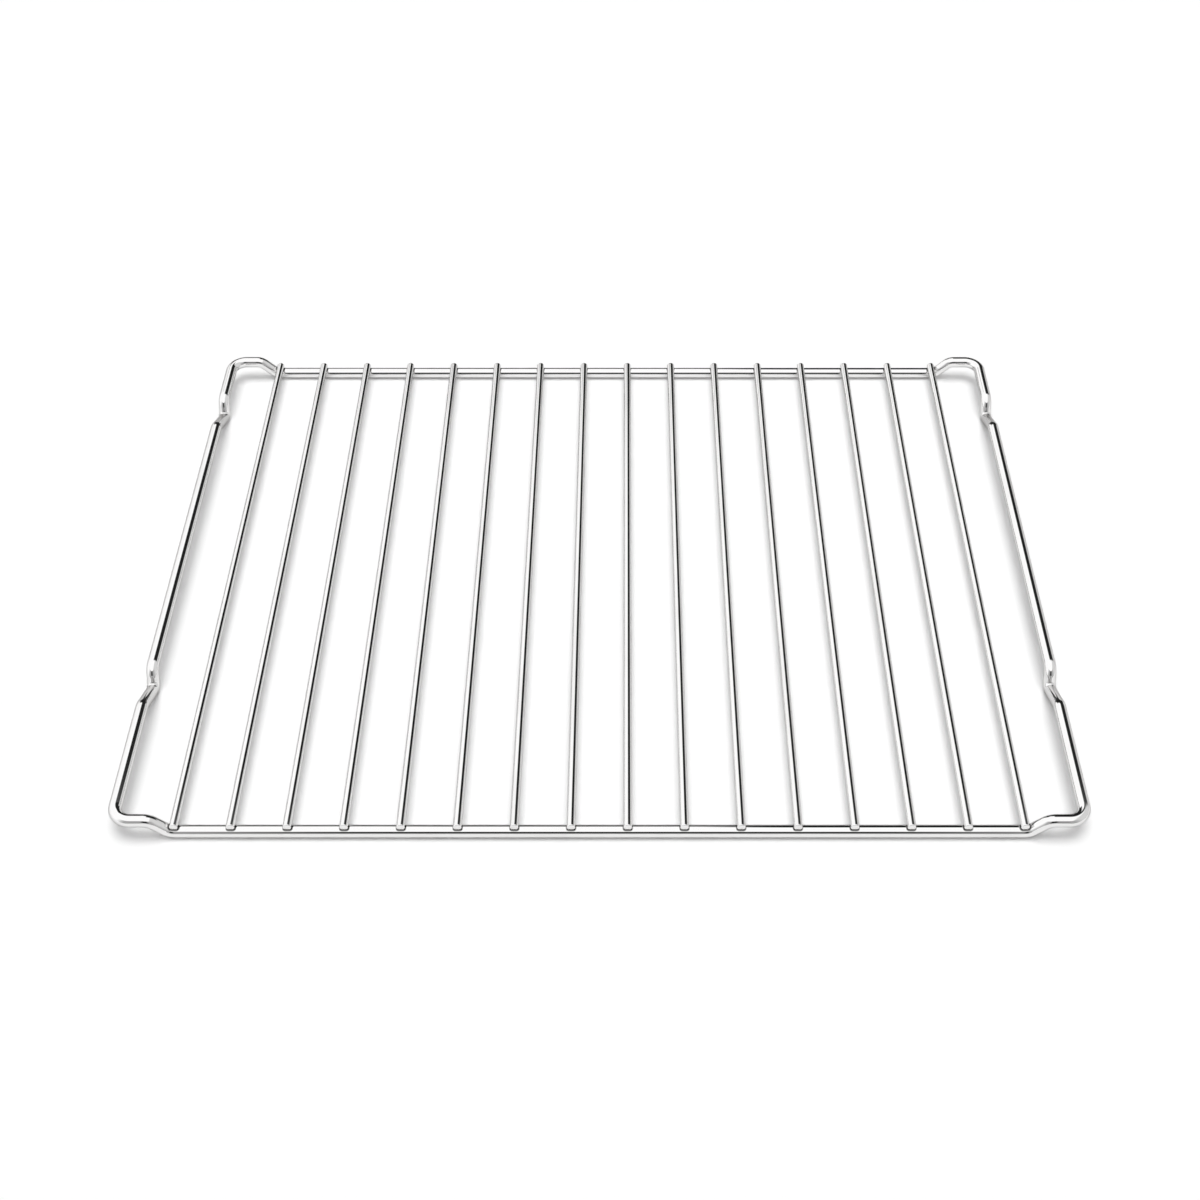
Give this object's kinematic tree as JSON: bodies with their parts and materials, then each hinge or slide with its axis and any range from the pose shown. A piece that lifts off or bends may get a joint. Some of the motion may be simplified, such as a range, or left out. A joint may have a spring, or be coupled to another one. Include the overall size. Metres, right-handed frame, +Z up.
{
  "type": "oven shelf rack",
  "caption": "Flat wire oven shelf: a bent round-wire frame with raised sides and V-shaped feet, crossed by straight parallel bars welded on top of the front and rear rails.",
  "frame": {"origin": "on the floor under the middle of the rack, level with the undersides of the low rails and feet", "axes": "+X to the right along the front rail, +Y to the back of the oven along the bars, +Z up"},
  "size_m": [0.446, 0.34, 0.014],
  "materials": {
    "frame_wire": "bright plated wire, polished",
    "bar_wire": "bright plated wire, polished"
  },
  "bodies": {
    "root": {"frame_loop": "frame_wire", "bar_01": "bar_wire", "bar_02": "bar_wire", "bar_03": "bar_wire", "bar_04": "bar_wire", "bar_05": "bar_wire", "bar_06": "bar_wire", "bar_07": "bar_wire", "bar_08": "bar_wire", "bar_09": "bar_wire", "bar_10": "bar_wire", "bar_11": "bar_wire", "bar_12": "bar_wire", "bar_13": "bar_wire", "bar_14": "bar_wire", "bar_15": "bar_wire", "bar_16": "bar_wire"}
  },
  "joints": []
}
